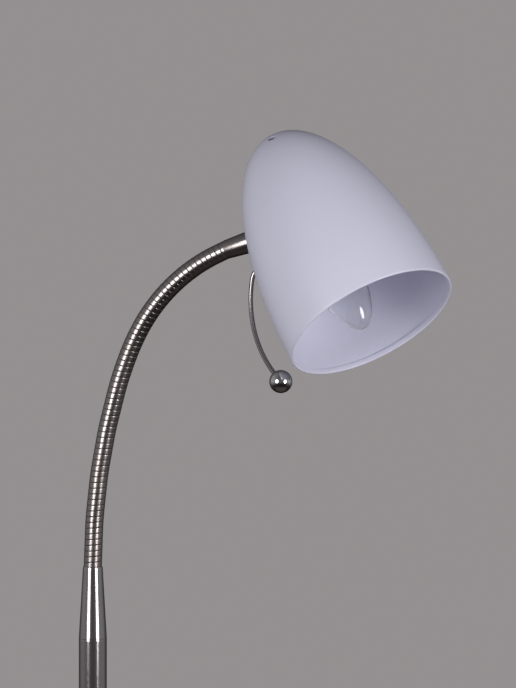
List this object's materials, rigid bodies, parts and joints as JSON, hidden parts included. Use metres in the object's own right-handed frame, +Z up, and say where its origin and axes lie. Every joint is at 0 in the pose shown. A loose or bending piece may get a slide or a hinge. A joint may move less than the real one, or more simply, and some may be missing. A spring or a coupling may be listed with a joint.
{
  "type": "floor lamp",
  "caption": "Floor lamp: a white bullet-shaped metal shade with a bow handle, on a flexible ribbed neck above a slim pole with a round weighted base.",
  "frame": {"origin": "on the floor, at the middle of the base's foot pad, under the pole", "axes": "+Z up along the pole, +X towards the side that the neck bends to"},
  "size_m": [0.3844, 0.23, 1.3563],
  "materials": {
    "satin_nickel": "satin nickel plate",
    "polished_chrome": "polished chrome plate",
    "zinc_plate": "bright zinc plate",
    "white_lacquer": "satin white lacquer",
    "brass": "bright drawn brass",
    "clear_glass": "clear blown glass",
    "filament": "drawn metal wire",
    "holder_moulding": "moulded, satin",
    "black_insulator": "black glassy insulator",
    "lead_insulation": "soft extruded insulation",
    "cast_weight": "rough casting",
    "black_rubber": "matte rubber"
  },
  "bodies": {
    "stand": {"base_pad": "black_rubber", "base_weight": "cast_weight", "base_cover": "satin_nickel", "base_washer": "zinc_plate", "base_nut": "zinc_plate", "base_nipple": "zinc_plate", "cord_grommet": "black_rubber", "pole_collar": "satin_nickel", "pole_insert": "zinc_plate", "pole_lower": "satin_nickel", "pole_middle": "satin_nickel", "pole_upper": "satin_nickel", "pole_joiners": "zinc_plate", "neck_ferrule": "satin_nickel"},
    "link_01": {"neck_link_01": "satin_nickel"},
    "link_02": {"neck_link_02": "satin_nickel"},
    "link_03": {"neck_link_03": "satin_nickel"},
    "link_04": {"neck_link_04": "satin_nickel"},
    "link_05": {"neck_link_05": "satin_nickel"},
    "link_06": {"neck_link_06": "satin_nickel"},
    "link_07": {"neck_link_07": "satin_nickel"},
    "link_08": {"neck_link_08": "satin_nickel"},
    "link_09": {"neck_link_09": "satin_nickel"},
    "link_10": {"neck_link_10": "satin_nickel"},
    "link_11": {"neck_link_11": "satin_nickel"},
    "link_12": {"neck_link_12": "satin_nickel"},
    "link_13": {"neck_link_13": "satin_nickel"},
    "link_14": {"neck_link_14": "satin_nickel"},
    "link_15": {"neck_link_15": "satin_nickel"},
    "link_16": {"neck_link_16": "satin_nickel"},
    "head": {"neck_sleeve": "satin_nickel", "neck_washer": "zinc_plate", "neck_nut": "zinc_plate", "shade": "white_lacquer", "holder_bracket": "zinc_plate", "holder_nipple": "zinc_plate", "holder_nut": "zinc_plate", "holder_cap": "holder_moulding", "holder_body": "holder_moulding", "holder_shell": "brass", "holder_contact": "brass", "terminal_screws": "brass", "head_leads": "lead_insulation", "bulb_glass": "clear_glass", "bulb_stem": "clear_glass", "bulb_filament": "filament", "bulb_cap": "brass", "bulb_insulator": "black_insulator", "bulb_contact": "zinc_plate", "handle_wire": "satin_nickel", "handle_ball": "polished_chrome", "handle_nuts": "zinc_plate"}
  },
  "joints": [
    {"name": "neck_lower_bend_1", "type": "hinge", "parent": "stand", "child": "link_01", "pos_m": [0, 0, 1.05], "axis": [0.002, 1, 0], "range_deg": [-4.55, 3.55]},
    {"name": "neck_sway", "type": "hinge", "parent": "link_01", "child": "link_02", "pos_m": [0.00063, 0, 1.06636], "axis": [0.9993, 0, -0.0384], "range_deg": [-9, 9]},
    {"name": "neck_lower_bend", "type": "hinge", "parent": "link_02", "child": "link_03", "pos_m": [0.00126, 0, 1.08273], "axis": [0.002, 1, -0.0001], "range_deg": [-9, 7]},
    {"name": "neck_sway_2", "type": "hinge", "parent": "link_03", "child": "link_04", "pos_m": [0.00314, 0, 1.09899], "axis": [0.9934, 0, -0.1149], "range_deg": [-9.05, 9.05]},
    {"name": "neck_lower_bend_3", "type": "hinge", "parent": "link_04", "child": "link_05", "pos_m": [0.00502, 0, 1.11526], "axis": [0.002, 1, -0.0002], "range_deg": [-9.05, 7.05]},
    {"name": "neck_sway_3", "type": "hinge", "parent": "link_05", "child": "link_06", "pos_m": [0.00815, 0, 1.13133], "axis": [0.9816, 0, -0.1908], "range_deg": [-9.05, 9.05]},
    {"name": "neck_lower_bend_4", "type": "hinge", "parent": "link_06", "child": "link_07", "pos_m": [0.01127, 0, 1.14741], "axis": [0.002, 1, -0.0004], "range_deg": [-9.05, 7.05]},
    {"name": "neck_sway_4", "type": "hinge", "parent": "link_07", "child": "link_08", "pos_m": [0.01562, 0, 1.16319], "axis": [0.9641, 0, -0.2656], "range_deg": [-9.05, 9.05]},
    {"name": "neck_lower_bend_5", "type": "hinge", "parent": "link_08", "child": "link_09", "pos_m": [0.01997, 0, 1.17898], "axis": [0.0019, 1, -0.0005], "range_deg": [-9.05, 7.05]},
    {"name": "neck_upper_bend_1", "type": "hinge", "parent": "link_09", "child": "link_10", "pos_m": [0.02551, 0, 1.19439], "axis": [0.0019, 1, -0.0007], "range_deg": [-3.65, 1.97]},
    {"name": "neck_upper_bend_2", "type": "hinge", "parent": "link_10", "child": "link_11", "pos_m": [0.032, 0, 1.20942], "axis": [0.0018, 1, -0.0008], "range_deg": [-6.18, 3.32]},
    {"name": "neck_upper_bend", "type": "hinge", "parent": "link_11", "child": "link_12", "pos_m": [0.04004, 0, 1.22369], "axis": [0.0017, 1, -0.001], "range_deg": [-7.5, 4]},
    {"name": "neck_upper_bend_4", "type": "hinge", "parent": "link_12", "child": "link_13", "pos_m": [0.04985, 0, 1.2368], "axis": [0.0016, 1, -0.0012], "range_deg": [-7.55, 4.05]},
    {"name": "neck_upper_bend_5", "type": "hinge", "parent": "link_13", "child": "link_14", "pos_m": [0.06127, 0, 1.24854], "axis": [0.0014, 1, -0.0014], "range_deg": [-7.55, 4.05]},
    {"name": "neck_upper_bend_6", "type": "hinge", "parent": "link_14", "child": "link_15", "pos_m": [0.0741, 0, 1.25871], "axis": [0.0012, 1, -0.0016], "range_deg": [-7.55, 4.05]},
    {"name": "neck_upper_bend_7", "type": "hinge", "parent": "link_15", "child": "link_16", "pos_m": [0.08814, 0, 1.26714], "axis": [0.001, 1, -0.0017], "range_deg": [-7.55, 4.05]},
    {"name": "neck_upper_bend_8", "type": "hinge", "parent": "link_16", "child": "head", "pos_m": [0.10314, 0, 1.2737], "axis": [0.0008, 1, -0.0018], "range_deg": [-7.55, 4.05]}
  ],
  "couplings": [
    {"joint": "neck_lower_bend_1", "follows": "neck_lower_bend", "ratio": 0.5},
    {"joint": "neck_sway_2", "follows": "neck_sway", "ratio": 1},
    {"joint": "neck_lower_bend_3", "follows": "neck_lower_bend", "ratio": 1},
    {"joint": "neck_sway_3", "follows": "neck_sway", "ratio": 1},
    {"joint": "neck_lower_bend_4", "follows": "neck_lower_bend", "ratio": 1},
    {"joint": "neck_sway_4", "follows": "neck_sway", "ratio": 1},
    {"joint": "neck_lower_bend_5", "follows": "neck_lower_bend", "ratio": 1},
    {"joint": "neck_upper_bend_1", "follows": "neck_upper_bend", "ratio": 0.47948},
    {"joint": "neck_upper_bend_2", "follows": "neck_upper_bend", "ratio": 0.81782},
    {"joint": "neck_upper_bend_4", "follows": "neck_upper_bend", "ratio": 1},
    {"joint": "neck_upper_bend_5", "follows": "neck_upper_bend", "ratio": 1},
    {"joint": "neck_upper_bend_6", "follows": "neck_upper_bend", "ratio": 1},
    {"joint": "neck_upper_bend_7", "follows": "neck_upper_bend", "ratio": 1},
    {"joint": "neck_upper_bend_8", "follows": "neck_upper_bend", "ratio": 1}
  ]
}
